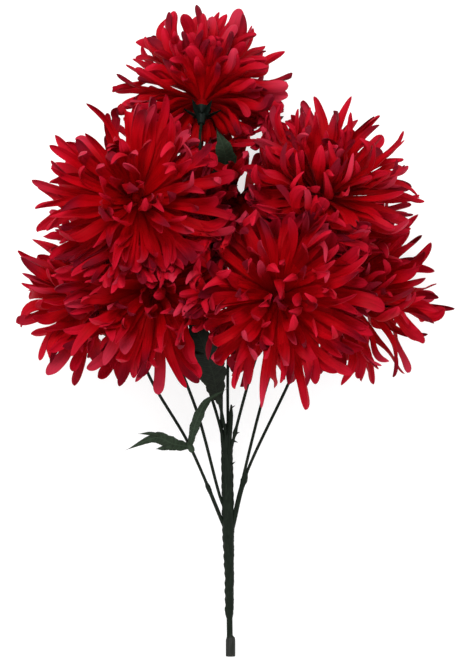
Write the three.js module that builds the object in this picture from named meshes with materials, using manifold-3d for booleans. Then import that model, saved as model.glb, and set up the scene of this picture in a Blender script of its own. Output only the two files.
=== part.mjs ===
// An artificial spider chrysanthemum spray, lying on its back on a surface.
// Eight large fabric heads and a few fabric leaves are pushed onto the thin branches of one moulded
// plastic stem. Millimetres, +Z up, +Y from the cut end of the stem towards the heads.
// The origin is on the surface, under the middle of the whole spray.

import * as THREE from 'three';
import Module from 'manifold-3d';
import { mergeVertices } from 'three/addons/utils/BufferGeometryUtils.js';

const wasm = await Module();
wasm.setup();

// ---------------------------------------------------------------- driving dimensions

// Places are measured from the cut end of the stem: X across, Y along the stem, Z above the surface.
const CUT_END_TO_MIDDLE = { x: -1.8, y: 255.2 };

const CLEARANCE = 0.3;
const ROUND_SIDES = 8;

// Handle of the stem: places along its middle line, with its radius there.
const HANDLE = [
  { at: [1.2, 0, 3.8], radius: 3.8 },
  { at: [1.2, 14, 5.2], radius: 3.8 },
  { at: [0.6, 16, 5.4], radius: 2.4 },
  { at: [0.4, 30, 6.8], radius: 2.4 },
  { at: [0.2, 34, 7.4], radius: 3.4 },
  { at: [0.3, 62, 10.5], radius: 3.7 },
  { at: [-0.3, 84, 13.5], radius: 4.3 },
  { at: [-0.6, 100, 15.5], radius: 4.8 },
  { at: [-1.0, 122, 19.0], radius: 4.7 },
  { at: [-1.6, 150, 24.0], radius: 4.6 },
  { at: [-1.8, 170, 28.0], radius: 4.2 },
  { at: [-1.8, 184, 30.0], radius: 2.0 },
];

const BRANCH_RADIUS = 1.25;
const BRANCH_SIDES = 5;
const BRANCH_STEP = 32;
const PEG_LENGTH = 9;
const NECKS = [34, 17];

// A branch that was cut off short leaves a stub between the others.
const STUB = { route: [[0, 160, 29], [1.4, 182, 34], [1.8, 196, 37]], radius: 1.5 };

// The heads: "base" is where the petals grow from, "faces" is the way the head looks, "size" is what
// its petals' length is multiplied with, "closed" is by how many degrees its top layer stands steeper
// than a wide open head's, "lifted" is the share of LIFT that its petals follow, and "route" holds the
// places that its branch passes, from the handle up.
const BLOOMS = [
  {
    name: 'top', base: [-21, 434, 69], faces: [0.05, 0.85, -0.5], size: 0.87, closed: 22, lifted: 1,
    route: [[-3, 150, 24], [-5.5, 171, 29], [-6.5, 228, 40], [-15, 330, 56]],
  },
  {
    name: 'upper_right', base: [72, 356, 100], faces: [0.1, 0.72, 0.66], size: 0.94, closed: 15, lifted: 0,
    route: [[2.6, 102, 15.4], [11, 141, 24], [29, 212, 42], [58, 300, 64]],
  },
  {
    name: 'upper_left', base: [-70, 357, 114], faces: [-0.15, 0.2, 0.95], size: 1, closed: 0, lifted: 0,
    route: [[-3, 150, 24], [-5.5, 175, 31], [-23, 234, 46], [-48, 318, 68]],
  },
  {
    name: 'lower_left', base: [-88, 284, 52], faces: [-0.5, 0.4, 0.65], size: 0.95, closed: 0, lifted: 0,
    route: [[-1, 96, 15], [-5.5, 107, 17], [-30.7, 166, 25], [-67, 232, 32]],
  },
  {
    name: 'lower_centre_left', base: [-58, 292, 106], faces: [-0.05, -0.2, 0.97], size: 0.95, closed: 0, lifted: 0,
    route: [[-2, 114, 17], [-6.3, 124, 20], [-24.4, 191, 42], [-46, 250, 64]],
  },
  {
    name: 'lower_centre', base: [38, 285, 110], faces: [0.02, -0.08, 1], size: 1, closed: 0, lifted: 0,
    route: [[-1, 150, 24], [2.4, 167, 32], [18, 226, 54], [30, 262, 68]],
  },
  {
    name: 'lower_right', base: [88, 285, 54], faces: [0.5, 0.35, 0.6], size: 0.97, closed: 0, lifted: 0,
    route: [[2.6, 102, 15.4], [12.6, 141.5, 23], [46.4, 214.6, 32], [62, 250, 34]],
  },
  {
    name: 'back', base: [8, 358, 50], faces: [0.05, 0.1, 1], size: 1.03, closed: 0, lifted: 0,
    route: [[-1, 150, 24], [-0.8, 171, 29], [-0.8, 234, 34], [3, 306, 36]],
  },
];

// Layers of petals, from the lowest up: how many, the height of their roots on the core, how steeply
// they leave it and end (degrees above the head's own level), their length and their width. The inner
// share "web" of a layer is one sheet of fabric, and from there on its petals are free.
const LAYERS = [
  { count: 5, height: 1.5, rise: -24, end: -84, length: 62, width: 13, web: 0.36 },
  { count: 6, height: 4, rise: 0, end: -54, length: 76, width: 13, web: 0.4 },
  { count: 6, height: 6.5, rise: 16, end: -20, length: 80, width: 12, web: 0.42 },
  { count: 6, height: 9, rise: 24, end: 14, length: 80, width: 11.4, web: 0.46 },
  { count: 6, height: 11.5, rise: 30, end: 52, length: 76, width: 11.4, web: 0.5 },
  { count: 5, height: 14, rise: 34, end: 80, length: 69, width: 11.4, web: 0.54 },
  { count: 3, height: 16, rise: 44, end: 96, length: 62, width: 11.6, web: 0.56 },
  { count: 2, height: 18, rise: 62, end: 106, length: 53, width: 11.6, web: 0.56 },
];
const LAYER_TURN = 0.38;
const ROOT_RADIUS = 4;
const SLOPE_POWER = 1.1;

// A layer's sheet goes up and down round the head in a few waves (degrees of slope). The free part of
// a petal curls, rolls and sways.
const LAYER_WAVE = { waves: 3, rise: 15 };
const CURL_POWER = 1.5;

// A layer has four slots for each petal that it is given here. The first of them is filled, with a
// petal that is broad enough to stand for its neighbours too.
const SLOTS = 4;

// How far a petal may differ from its layer, either way: its turn round the head as a share of the
// space between petals, its slopes in degrees, its length as a share, and the roll in degrees, the
// sway and the curl in degrees of its free part.
const PETAL_SPREAD = { turn: 0.2, rise: 8, end: 24, length: 0.12, roll: 85, sway: 0.8, curl: 80 };

// A head that leans back has its upper side turned away from the surface. The petals there, most of
// all those of its lower layers, stand steeper by these degrees, are shorter and curl less by these
// shares, and so leave its calyx in sight.
const LIFT = { rise: 55, end: 85, shorter: 0.12, calmer: 0.8 };

const PETAL_KEEL = 1.5;
const PETAL_STEPS = 18;
const PETAL_RINGS = [
  { step: 0, width: 0.4 },
  { step: 8, width: 2.0 },
  { step: 14, width: 1.8 },
];

// A petal starts to bend this far before a neighbouring head, a branch or the surface.
const BEND_BAND = 12;
const BRANCH_BAND = 9;
const BRANCH_BERTH = 5;
const OWN_BRANCH_FREE = 36;
const SURFACE_PRESS = 3;
const NEIGHBOUR_GAP = 0.4;
const HEAD_MIDDLE = 22;
const OPENING_UP = 0.5;
const OVERHANG = 0.6;
const OVERHANG_FADE = 45;

const CORE_PROFILE = [[0, -2], [8.4, -1], [8.4, 14], [0, 20]];
const CALYX_PROFILE = [[0, -17], [2.8, -17], [4.6, -9], [7.4, -2.5], [0, -2.5]];

// The stalk of the leaf in the middle is a branch of the stem too.
const LEAF_STALK = [[-2, 156, 25], [-2.4, 173, 30], [-6, 194, 40], [-9.5, 207, 46]];

// A leaf's sleeve sits on its branch at the place nearest to "near". Each leaf has one or more lobes:
// "spine" holds the places along a lobe's middle, after the sleeve where it grows from that, and
// "side" the way it is wide.
const LEAVES = [
  {
    name: 'centre', branch: 'stalk', near: [-9.5, 205, 48],
    lobes: [
      {
        fromSleeve: true, spine: [[-14, 228, 64], [-22, 250, 80], [-34, 274, 84]],
        side: [1, 0.4, 0], width: 24,
      },
      {
        fromSleeve: false, spine: [[-18, 240, 73], [-28, 244, 78], [-35, 250, 75]],
        side: [-0.4, 1, 0], width: 9,
      },
    ],
  },
  {
    name: 'left', branch: 'lower_left', near: [-31, 164, 27],
    lobes: [
      {
        fromSleeve: true, spine: [[-44, 168, 33], [-56, 173, 34], [-82, 163, 26]],
        side: [0, 1, 0.2], width: 11,
      },
      {
        fromSleeve: false, spine: [[-42, 166, 32], [-50, 165, 34], [-58, 164, 32]],
        side: [0, 1, 0], width: 4,
      },
      {
        fromSleeve: false, spine: [[-52, 173, 34], [-60, 176, 35], [-72, 176, 33]],
        side: [0, 1, 0], width: 3,
      },
      {
        fromSleeve: true, spine: [[-28, 178, 42], [-24, 190, 53], [-17, 202, 58], [-1, 212, 60]],
        side: [1, -0.4, 0], width: 8,
      },
    ],
  },
  {
    name: 'under_top', branch: 'top', near: [-14, 372, 62],
    lobes: [
      {
        fromSleeve: true, spine: [[-4, 386, 88], [-4, 400, 102], [-10, 416, 106]],
        side: [1, 0.3, 0.2], width: 17,
      },
    ],
  },
  {
    name: 'lower_left', branch: 'lower_left', near: [-70, 255, 38],
    lobes: [
      {
        fromSleeve: true, spine: [[-82, 252, 42], [-95, 254, 46], [-108, 258, 46]],
        side: [0, 0.3, 1], width: 13,
      },
    ],
  },
];
const LEAF_THICKNESS = 0.8;
const LEAF_STATION = 7.5;
const LEAF_SLIM = 8;
const LEAF_TOOTH = 0.1;
const LEAF_FOLD = 0.24;
const LEAF_LEAST = 0.5;
const LEAF_SWELL = { from: 0.1, over: 0.88 };
const SLEEVE_RADIUS = 2.6;
const SLEEVE_LENGTH = 9;
const SLEEVE_INSET = 0.2;

// Upright gaps between the heads, through which the leaves and the surface show from above: where
// they are, from what height up, and how far petals stay from there.
const GAPS = [
  { at: [-13, 226], low: 60, berth: 9 },
  { at: [-20, 243], low: 70, berth: 10 },
  { at: [-27, 257], low: 80, berth: 8 },
  { at: [-5, 396], low: 104, berth: 6 },
  { at: [-22, 421], low: 88, berth: 9 },
  { at: [-99, 251], low: 50, berth: 6 },
  { at: [11, 371], low: 50, berth: 6 },
  { at: [18, 372], low: 50, berth: 4 },
];
const GAP_TOP = 190;

// How many straight stretches stand for each of these when petals bend away from them.
const STRETCHES = { branch: 24, stalk: 6, lobe: 6 };
const LOBE_BERTH = 2;

const PETAL_COLOUR = 0xb3101f;
const STEM_COLOUR = 0x232a24;
const LEAF_COLOUR = 0x2f3d31;

// ---------------------------------------------------------------- small helpers

const vector = ([x, y, z]) => new THREE.Vector3(x, y, z);
const radians = THREE.MathUtils.degToRad;
const smoothCurve = (places) => new THREE.CatmullRomCurve3(places, false, 'centripetal');

// A repeatable run of numbers from -1 to 1, different for each set of whole-number keys.
function seededRandom(...keys) {
  let state = 12345;
  const next = () => {
    state = (state * 1664525 + 1013904223) % 4294967296;
    return (state / 4294967296) * 2 - 1;
  };
  for (const key of keys) {
    state = (state + key * 2654435) % 4294967296;
    next();
  }
  return next;
}

function solidFrom(geometry) {
  const bare = geometry.clone();
  bare.deleteAttribute('normal');
  bare.deleteAttribute('uv');
  const merged = mergeVertices(bare, 1e-4);
  const index = merged.index.array;
  const corners = [];
  for (let i = 0; i < index.length; i += 3) {
    const [a, b, c] = [index[i], index[i + 1], index[i + 2]];
    if (a !== b && b !== c && c !== a) corners.push(a, b, c);
  }
  return new wasm.Manifold(new wasm.Mesh({
    numProp: 3,
    vertProperties: new Float32Array(merged.attributes.position.array),
    triVerts: new Uint32Array(corners),
  }));
}

function geometryFrom(solid) {
  const mesh = solid.getMesh();
  const geometry = new THREE.BufferGeometry();
  geometry.setAttribute('position', new THREE.BufferAttribute(mesh.vertProperties, 3));
  geometry.setIndex(new THREE.BufferAttribute(mesh.triVerts, 1));
  geometry.computeVertexNormals();
  return geometry;
}

// Joins solids and keeps the one largest body, so that sealed hollows and loose scraps go.
function joinedBody(solids) {
  const bodies = wasm.Manifold.union(solids).decompose();
  bodies.sort((one, other) => other.volume() - one.volume());
  return bodies[0];
}

// Splits a ring of points into triangles, like the rungs of a ladder across it.
function capCorners(start, sides) {
  const corners = [];
  let low = 0;
  let high = sides - 1;
  while (high - low > 1) {
    corners.push([start + low, start + low + 1, start + high]);
    low += 1;
    if (high - low > 1) corners.push([start + low, start + high - 1, start + high]);
    high -= 1;
  }
  return corners;
}

// Splits a four-cornered part of a skin into triangles, along the diagonal that stands out from it.
function splitOutward(quad, points) {
  const [near, beside, across, far] = quad;
  const [a, b, c, d] = quad.map((corner) => points[corner]);
  const normal = b.clone().sub(a).cross(d.clone().sub(a));
  if (normal.dot(c.clone().sub(a)) < 0) return [[near, beside, far], [beside, across, far]];
  return [[near, beside, across], [near, across, far]];
}

// A closed skin over rings of points, each with as many points, that ends in a ring or in a tip. As
// it is split along the diagonals that stand out, the faces of a thin and twisted blade never cross.
function loftedSolid(rings, tip = null) {
  const sides = rings[0].length;
  const points = rings.flat();
  const corners = capCorners(0, sides).map(([a, b, c]) => [a, c, b]);
  for (let ring = 0; ring < rings.length - 1; ring += 1) {
    for (let side = 0; side < sides; side += 1) {
      const near = ring * sides + side;
      const beside = ring * sides + ((side + 1) % sides);
      corners.push(...splitOutward([near, beside, beside + sides, near + sides], points));
    }
  }
  const start = points.length - sides;
  if (tip) {
    for (let side = 0; side < sides; side += 1) {
      corners.push([start + side, start + ((side + 1) % sides), points.length]);
    }
    points.push(tip);
  } else {
    corners.push(...capCorners(start, sides));
  }
  const geometry = new THREE.BufferGeometry().setFromPoints(points);
  geometry.setIndex(corners.flat());
  return solidFrom(geometry);
}

// Turns a profile of [radius, height] round an axis that stands at a place and points a way.
function turnedSolid(profile, place, axis) {
  const outline = profile.map(([radius, height]) => new THREE.Vector2(radius, height));
  const geometry = new THREE.LatheGeometry(outline, ROUND_SIDES);
  const upright = new THREE.Vector3(0, 1, 0);
  geometry.applyQuaternion(new THREE.Quaternion().setFromUnitVectors(upright, axis));
  geometry.translate(place.x, place.y, place.z);
  return solidFrom(geometry);
}

// A tube along a curve is made of this many straights, with their ends on the curve.
const straightsIn = (curve) => Math.ceil(curve.getLength() / BRANCH_STEP);

function tubeSolid(curve, radius) {
  const section = new THREE.Shape();
  for (let side = 0; side < BRANCH_SIDES; side += 1) {
    const angle = (side / BRANCH_SIDES) * 2 * Math.PI;
    const corner = [radius * Math.cos(angle), radius * Math.sin(angle)];
    if (side === 0) section.moveTo(...corner);
    else section.lineTo(...corner);
  }
  const options = { steps: straightsIn(curve), extrudePath: curve, bevelEnabled: false };
  return solidFrom(new THREE.ExtrudeGeometry(section, options));
}

// ---------------------------------------------------------------- heads: places and neighbours

const heads = BLOOMS.map((bloom, number) => {
  const base = vector(bloom.base);
  const axis = vector(bloom.faces).normalize();
  const across = new THREE.Vector3(1, 0, 0).addScaledVector(axis, -axis.x).normalize();
  const along = axis.clone().cross(across);
  const onAxis = (height) => base.clone().addScaledVector(axis, height);
  const necks = NECKS.map((below) => onAxis(-below));
  const branch = smoothCurve([...bloom.route.map(vector), ...necks, base, onAxis(PEG_LENGTH)]);
  const { name, size, closed, lifted } = bloom;
  return { name, size, closed, lifted, number, base, axis, across, along, onAxis, branch };
});

// Between two heads runs a flat boundary, and each head's petals stay on its own side of it. Between
// heads of much the same height it leans, so that the petals of the higher one lie over the other's.
for (const head of heads) {
  head.boundaries = heads.filter((other) => other !== head).map((other) => {
    const middle = head.onAxis(HEAD_MIDDLE);
    const otherMiddle = other.onAxis(HEAD_MIDDLE);
    const normal = otherMiddle.clone().sub(middle).normalize();
    const above = head.base.z - other.base.z;
    normal.z -= Math.sign(above) * OVERHANG * Math.max(1 - Math.abs(above) / OVERHANG_FADE, 0);
    normal.normalize();
    const halfway = middle.clone().add(otherMiddle).multiplyScalar(0.5);
    return { normal, reach: halfway.dot(normal) - NEIGHBOUR_GAP, press: 0 };
  });
  head.boundaries.push({ normal: new THREE.Vector3(0, 0, -1), reach: 0, press: SURFACE_PRESS });
}

// ---------------------------------------------------------------- stem

const stalk = smoothCurve(LEAF_STALK.map(vector));
const branches = { stalk };
for (const head of heads) branches[head.name] = head.branch;

function handleSolid() {
  const rings = HANDLE.map(({ at, radius }) => {
    const ring = [];
    for (let side = 0; side < ROUND_SIDES; side += 1) {
      const angle = ((side + 0.5) / ROUND_SIDES) * 2 * Math.PI;
      const height = Math.max(at[2] + radius * Math.cos(angle), 0);
      ring.push(new THREE.Vector3(at[0] + radius * Math.sin(angle), at[1], height));
    }
    return ring;
  });
  return loftedSolid(rings);
}

const branchSolids = (radius) => Object.values(branches).map((curve) => tubeSolid(curve, radius));
const stub = tubeSolid(smoothCurve(STUB.route.map(vector)), STUB.radius);
const stem = joinedBody([handleSolid(), stub, ...branchSolids(BRANCH_RADIUS)]);
const branchBores = wasm.Manifold.union(branchSolids(BRANCH_RADIUS + CLEARANCE));

// ---------------------------------------------------------------- leaves

// Where a leaf's sleeve sits, on one straight of its branch and clear of the ends of that straight.
function seatOf({ branch, near }) {
  const curve = branches[branch];
  const ends = curve.getSpacedPoints(straightsIn(curve));
  const seats = ends.slice(1).map((end, number) => {
    const straight = new THREE.Line3(ends[number], end);
    const share = straight.closestPointToPointParameter(vector(near), true);
    const place = straight.at(THREE.MathUtils.clamp(share, SLEEVE_INSET, 1 - SLEEVE_INSET), vector(near));
    return { place, direction: straight.delta(vector(near)).normalize() };
  });
  seats.sort((one, other) => one.place.distanceTo(vector(near)) - other.place.distanceTo(vector(near)));
  return seats[0];
}

function spineCurve({ fromSleeve, spine }, leaf) {
  const places = spine.map(vector);
  return smoothCurve(fromSleeve ? [seatOf(leaf).place, ...places] : places);
}

// One lobe of a leaf: a thin blade with a toothed edge, folded a little along its spine.
function lobeSolid(lobe, leaf, spare) {
  const { side, width } = lobe;
  const curve = spineCurve(lobe, leaf);
  const pairs = Math.ceil((curve.getLength() / LEAF_STATION / 2) * Math.min(width / LEAF_SLIM, 1));
  const stations = 2 * pairs;
  const rings = [];
  for (let station = 0; station <= stations; station += 1) {
    const share = station / stations;
    const middle = curve.getPoint(share);
    const forward = curve.getTangent(share);
    const wide = vector(side);
    const across = wide.addScaledVector(forward, -forward.dot(wide)).normalize();
    const up = forward.clone().cross(across);
    const tooth = station % 2 === 0 ? 1 - LEAF_TOOTH : 1 + LEAF_TOOTH;
    const swell = Math.sin(Math.PI * (LEAF_SWELL.from + LEAF_SWELL.over * share));
    const half = Math.max((width / 2) * swell * tooth, LEAF_LEAST) + spare;
    const fold = half * LEAF_FOLD;
    const top = LEAF_THICKNESS / 2 + spare;
    const corner = (out, lift) => middle.clone().addScaledVector(across, out).addScaledVector(up, -lift);
    rings.push([
      corner(-half, fold + top), corner(0, top), corner(half, fold + top),
      corner(half, fold - top), corner(0, -top), corner(-half, fold - top),
    ]);
  }
  return loftedSolid(rings);
}

function sleeveSolid(leaf, spare) {
  const { place, direction } = seatOf(leaf);
  const radius = SLEEVE_RADIUS + spare;
  const half = SLEEVE_LENGTH / 2 + spare;
  const profile = [[0, -half], [radius, -half], [radius, half], [0, half]];
  return turnedSolid(profile, place, direction);
}

function leafSolid(leaf, spare = 0) {
  const lobes = leaf.lobes.map((lobe) => lobeSolid(lobe, leaf, spare));
  return joinedBody([sleeveSolid(leaf, spare), ...lobes]);
}

// ---------------------------------------------------------------- petals

// What a petal bends away from besides its boundaries: short stretches of the branches and leaves, and
// of the gaps that are left open between the heads.
const stretches = [];
function addStretches(curve, pieces, berth, owner) {
  const places = curve.getSpacedPoints(pieces);
  for (let i = 0; i < pieces; i += 1) {
    stretches.push({ line: new THREE.Line3(places[i], places[i + 1]), berth, owner });
  }
}
for (const head of heads) addStretches(head.branch, STRETCHES.branch, BRANCH_BERTH, head.number);
addStretches(stalk, STRETCHES.stalk, BRANCH_BERTH, null);
for (const leaf of LEAVES) {
  for (const lobe of leaf.lobes) {
    addStretches(spineCurve(lobe, leaf), STRETCHES.lobe, lobe.width / 2 + LOBE_BERTH, null);
  }
}
for (const { at: [x, y], low, berth } of GAPS) {
  addStretches(new THREE.LineCurve3(vector([x, y, low]), vector([x, y, GAP_TOP])), 1, berth, null);
}

// The walls that a place near a head feels: the way to each of them and how hard it presses, 0 to 1.
// A head's own branch isn't one close to the head.
function wallsAt(place, head) {
  const walls = [];
  for (const { normal, reach, press } of head.boundaries) {
    const gap = reach + press - normal.dot(place);
    if (gap < BEND_BAND) walls.push({ normal, press: Math.min(1 - gap / BEND_BAND, 1), flat: true });
  }
  const nearest = new THREE.Vector3();
  for (const { line, berth, owner } of stretches) {
    if (owner === head.number && line.end.distanceTo(head.base) < OWN_BRANCH_FREE) continue;
    line.closestPointToPoint(place, true, nearest);
    const gap = nearest.distanceTo(place) - berth;
    if (gap < BRANCH_BAND) {
      const normal = nearest.clone().sub(place).normalize();
      walls.push({ normal, press: Math.min(1 - gap / BRANCH_BAND, 1), flat: false });
    }
  }
  return walls;
}

// Follows a petal from its root to its tip, in small steps that bend along what lies in its way.
function petalPath(head, layerNumber, slot) {
  const layer = LAYERS[layerNumber];
  const random = seededRandom(head.number, layerNumber, slot);
  const turn = (slot / SLOTS + layerNumber * LAYER_TURN + PETAL_SPREAD.turn * random()) / layer.count;
  const angle = turn * 2 * Math.PI;
  const out = head.across.clone().multiplyScalar(Math.cos(angle));
  out.addScaledVector(head.along, Math.sin(angle));
  const side = head.axis.clone().cross(out);

  const upward = layerNumber / (LAYERS.length - 1);
  const lift = head.lifted * Math.max(out.z, 0) * (1 - upward);
  const phase = Math.PI * seededRandom(head.number, layerNumber)();
  const wave = LAYER_WAVE.rise * Math.sin(LAYER_WAVE.waves * angle + phase);
  const steeper = head.closed * upward + LIFT.rise * lift;
  const rise = layer.rise + steeper + wave + PETAL_SPREAD.rise * random();
  const end = layer.end + LIFT.end * lift + PETAL_SPREAD.end * random();
  const fullLength = head.size * layer.length * (1 - LIFT.shorter * lift);
  const length = fullLength * (1 + PETAL_SPREAD.length * random());
  const roll = radians(PETAL_SPREAD.roll * random());
  const sway = PETAL_SPREAD.sway * random();
  const curl = PETAL_SPREAD.curl * (1 - LIFT.calmer * lift) * random();

  const place = head.onAxis(layer.height).addScaledVector(out, ROOT_RADIUS);
  const path = [];
  for (let step = 0; step <= PETAL_STEPS; step += 1) {
    const share = step / PETAL_STEPS;
    const free = Math.max(share - layer.web, 0) / (1 - layer.web);
    const slope = radians(rise + (end - rise) * share ** SLOPE_POWER + curl * free ** CURL_POWER);
    const forward = out.clone().multiplyScalar(Math.cos(slope)).addScaledVector(head.axis, Math.sin(slope));
    forward.addScaledVector(side, sway * free).normalize();
    const width = side.clone().applyAxisAngle(forward, roll * free);
    for (const { normal, press, flat } of wallsAt(place, head)) {
      const into = forward.dot(normal);
      if (into > 0) {
        forward.addScaledVector(head.axis, into * press * OPENING_UP);
        forward.addScaledVector(normal, -Math.max(forward.dot(normal), 0) * press);
      }
      if (flat) width.addScaledVector(normal, -width.dot(normal) * press);
    }
    forward.normalize();
    width.addScaledVector(forward, -width.dot(forward)).normalize();
    path.push({ place: place.clone(), width, up: forward.clone().cross(width) });
    place.addScaledVector(forward, length / PETAL_STEPS);
  }
  return path;
}

// Moves a ring of points back, as a whole, from any boundary that it passes.
function keptInside(ring, head) {
  for (let pass = 0; pass < 4; pass += 1) {
    for (const { normal, reach } of head.boundaries) {
      const over = Math.max(...ring.map((corner) => corner.dot(normal))) - reach;
      if (over > 0) ring.forEach((corner) => corner.addScaledVector(normal, -over));
    }
  }
  return ring;
}

function petalSolid(head, layerNumber, slot) {
  const path = petalPath(head, layerNumber, slot);
  const rings = PETAL_RINGS.map((ring) => {
    const { place, width, up } = path[ring.step];
    const half = (LAYERS[layerNumber].width * ring.width) / 2;
    return keptInside([
      place.clone().addScaledVector(width, half),
      place.clone().addScaledVector(width, -half),
      place.clone().addScaledVector(up, -PETAL_KEEL),
    ], head);
  });
  const [tip] = keptInside([path[PETAL_STEPS].place], head);
  return loftedSolid(rings, tip);
}

// ---------------------------------------------------------------- heads

function calyxSolid(head) {
  return turnedSolid(CALYX_PROFILE, head.base, head.axis).subtract(branchBores);
}

// Everything that petals stay out of, grown by the clearance.
const keepOut = wasm.Manifold.union([
  branchBores,
  ...LEAVES.map((leaf) => leafSolid(leaf, CLEARANCE)),
  ...heads.map((head) => turnedSolid(
    CALYX_PROFILE.map(([radius, height]) => [radius === 0 ? 0 : radius + CLEARANCE, height]),
    head.base,
    head.axis,
  )),
]);

function bloomSolid(head) {
  const core = turnedSolid(CORE_PROFILE, head.base, head.axis);
  const petals = [];
  LAYERS.forEach((layer, layerNumber) => {
    for (let slot = 0; slot < SLOTS * layer.count; slot += SLOTS) {
      const petal = petalSolid(head, layerNumber, slot);
      if (petal.intersect(keepOut).isEmpty()) petals.push(petal);
    }
  });
  return joinedBody([joinedBody([core, ...petals]).subtract(branchBores)]);
}

// ---------------------------------------------------------------- the spray

const fabric = new THREE.MeshStandardMaterial({ color: PETAL_COLOUR, roughness: 0.7, metalness: 0 });
const leafFabric = new THREE.MeshStandardMaterial({ color: LEAF_COLOUR, roughness: 0.7, metalness: 0 });
const plastic = new THREE.MeshStandardMaterial({ color: STEM_COLOUR, roughness: 0.5, metalness: 0 });

const spray = new THREE.Group();
spray.position.set(-CUT_END_TO_MIDDLE.x, -CUT_END_TO_MIDDLE.y, 0);

function addPiece(name, solid, material) {
  const piece = new THREE.Mesh(geometryFrom(solid), material);
  piece.name = name;
  spray.add(piece);
}

addPiece('stem', stem, plastic);
for (const head of heads) {
  addPiece(`bloom_${head.name}`, bloomSolid(head), fabric);
  addPiece(`calyx_${head.name}`, calyxSolid(head), plastic);
}
for (const leaf of LEAVES) {
  addPiece(`leaf_${leaf.name}`, joinedBody([leafSolid(leaf).subtract(branchBores)]), leafFabric);
}

export default spray;
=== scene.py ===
"""The looks of an artificial spider chrysanthemum spray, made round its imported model.

Sizes are in millimetres, measured from the cut end of the stem as in the model's own source: X across,
Y along the stem, Z above the surface. to_scene() turns them into the frame's metres.
"""

import math

import bpy
import numpy as np
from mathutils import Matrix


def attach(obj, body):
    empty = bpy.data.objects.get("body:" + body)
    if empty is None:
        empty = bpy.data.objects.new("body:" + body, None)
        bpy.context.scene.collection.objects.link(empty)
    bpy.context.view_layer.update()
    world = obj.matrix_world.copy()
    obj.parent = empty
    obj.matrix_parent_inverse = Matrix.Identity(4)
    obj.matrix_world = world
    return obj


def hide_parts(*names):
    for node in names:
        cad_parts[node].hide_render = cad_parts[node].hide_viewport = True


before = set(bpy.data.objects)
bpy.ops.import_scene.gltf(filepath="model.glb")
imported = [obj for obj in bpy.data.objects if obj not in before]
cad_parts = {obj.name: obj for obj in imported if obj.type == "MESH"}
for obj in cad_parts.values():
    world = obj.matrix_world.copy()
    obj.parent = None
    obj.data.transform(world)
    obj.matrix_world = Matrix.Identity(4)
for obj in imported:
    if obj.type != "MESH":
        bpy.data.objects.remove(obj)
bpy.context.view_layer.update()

# -------------------------------- numbers shared with the model

CUT_END_TO_MIDDLE = np.array([-1.8, 255.2, 0.0])
METRES = 0.001

# Handle of the stem: places along its middle line, with its radius there.
HANDLE = [
    ((1.2, 0, 3.8), 3.8), ((1.2, 14, 5.2), 3.8), ((0.6, 16, 5.4), 2.4), ((0.4, 30, 6.8), 2.4),
    ((0.2, 34, 7.4), 3.4), ((0.3, 62, 10.5), 3.7), ((-0.3, 84, 13.5), 4.3), ((-0.6, 100, 15.5), 4.8),
    ((-1.0, 122, 19.0), 4.7), ((-1.6, 150, 24.0), 4.6), ((-1.8, 170, 28.0), 4.2), ((-1.8, 184, 30.0), 2.0),
]
BRANCH_RADIUS = 1.25
PEG_LENGTH = 9
NECKS = (34, 17)

# The heads: "base" is where the petals grow from, "faces" is the way the head looks, "size" is what its
# petals' length is multiplied with, "closed" is by how many degrees its top layer stands steeper,
# "lifted" is the share of LIFT that its petals follow, and "route" holds the places that its branch
# passes, from the handle up.
BLOOMS = [
    dict(name="top", base=(-21, 434, 69), faces=(0.05, 0.85, -0.5), size=0.87, closed=22, lifted=1,
         route=[(-3, 150, 24), (-5.5, 171, 29), (-6.5, 228, 40), (-15, 330, 56)]),
    dict(name="upper_right", base=(72, 356, 100), faces=(0.1, 0.72, 0.66), size=0.94, closed=15, lifted=0,
         route=[(2.6, 102, 15.4), (11, 141, 24), (29, 212, 42), (58, 300, 64)]),
    dict(name="upper_left", base=(-70, 357, 114), faces=(-0.15, 0.2, 0.95), size=1, closed=0, lifted=0,
         route=[(-3, 150, 24), (-5.5, 175, 31), (-23, 234, 46), (-48, 318, 68)]),
    dict(name="lower_left", base=(-88, 284, 52), faces=(-0.5, 0.4, 0.65), size=0.95, closed=0, lifted=0,
         route=[(-1, 96, 15), (-5.5, 107, 17), (-30.7, 166, 25), (-67, 232, 32)]),
    dict(name="lower_centre_left", base=(-58, 292, 106), faces=(-0.05, -0.2, 0.97),
         size=0.95, closed=0, lifted=0,
         route=[(-2, 114, 17), (-6.3, 124, 20), (-24.4, 191, 42), (-46, 250, 64)]),
    dict(name="lower_centre", base=(38, 285, 110), faces=(0.02, -0.08, 1), size=1, closed=0, lifted=0,
         route=[(-1, 150, 24), (2.4, 167, 32), (18, 226, 54), (30, 262, 68)]),
    dict(name="lower_right", base=(88, 285, 54), faces=(0.5, 0.35, 0.6), size=0.97, closed=0, lifted=0,
         route=[(2.6, 102, 15.4), (12.6, 141.5, 23), (46.4, 214.6, 32), (62, 250, 34)]),
    dict(name="back", base=(8, 358, 50), faces=(0.05, 0.1, 1), size=1.03, closed=0, lifted=0,
         route=[(-1, 150, 24), (-0.8, 171, 29), (-0.8, 234, 34), (3, 306, 36)]),
]

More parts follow.
